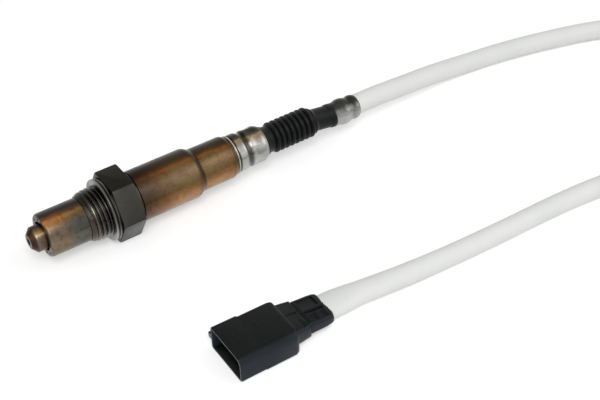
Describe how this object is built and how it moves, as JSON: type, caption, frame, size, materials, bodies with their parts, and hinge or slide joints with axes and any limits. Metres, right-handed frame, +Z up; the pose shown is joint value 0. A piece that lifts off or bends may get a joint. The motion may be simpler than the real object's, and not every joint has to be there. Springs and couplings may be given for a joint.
{
  "type": "oxygen sensor",
  "caption": "Exhaust oxygen sensor with a threaded hexagon body, vented protection tubes, steel shell, ribbed rubber boot, woven sleeved cable and a flat black plug.",
  "frame": {"origin": "on the thread's axis, in the plane of the gasket's front face, where it meets the exhaust boss", "axes": "+X along the thread's axis from the nose to the cable, +Z up from the floor that the hexagon and the plug lie on, -Y towards the plug"},
  "size_m": [0.2797, 0.1089, 0.022],
  "materials": {
    "tinted_steel": "drawn stainless steel with brown and straw heat tint",
    "body_steel": "dark heat-tinted machined stainless steel",
    "gasket_metal": "bright folded steel, satin",
    "bright_steel": "bright pressed stainless steel",
    "ceramic": "off-white fired ceramic, matt, with no see-through",
    "talc": "pressed grey talc powder, matt, with no see-through",
    "black_rubber": "smooth black fluororubber",
    "seal_rubber": "soft silicone, matt",
    "wire_cover": "plain insulated wire",
    "woven_sleeve": "pale grey woven glass-fibre sleeve, lightly coated",
    "black_plastic": "black glass-filled nylon, half gloss",
    "terminal_metal": "tin-plated brass"
  },
  "bodies": {
    "root": {"outer_protection_tube": "tinted_steel", "inner_protection_tube": "tinted_steel", "sensor_body": "body_steel", "seal_gasket": "gasket_metal", "sensing_strip": "ceramic", "front_ceramic": "ceramic", "powder_packing": "talc", "rear_ceramic": "ceramic", "outer_shell": "tinted_steel", "crimp_collar": "bright_steel", "contact_holder_upper": "ceramic", "contact_holder_lower": "ceramic", "holder_clip": "bright_steel", "strip_contact_1": "bright_steel", "strip_contact_2": "bright_steel", "strip_contact_3": "bright_steel", "strip_contact_4": "bright_steel", "rubber_boot": "black_rubber", "cable_ferrule": "bright_steel", "lead_wire_1": "wire_cover", "lead_wire_2": "wire_cover", "lead_wire_3": "wire_cover", "lead_wire_4": "wire_cover", "cable_sleeve": "woven_sleeve", "plug_housing": "black_plastic", "terminal_retainer": "black_plastic", "plug_terminal_1": "terminal_metal", "plug_terminal_2": "terminal_metal", "plug_terminal_3": "terminal_metal", "plug_terminal_4": "terminal_metal", "wire_seal": "seal_rubber", "plug_cover": "black_plastic", "plug_leads": "wire_cover"}
  },
  "joints": []
}
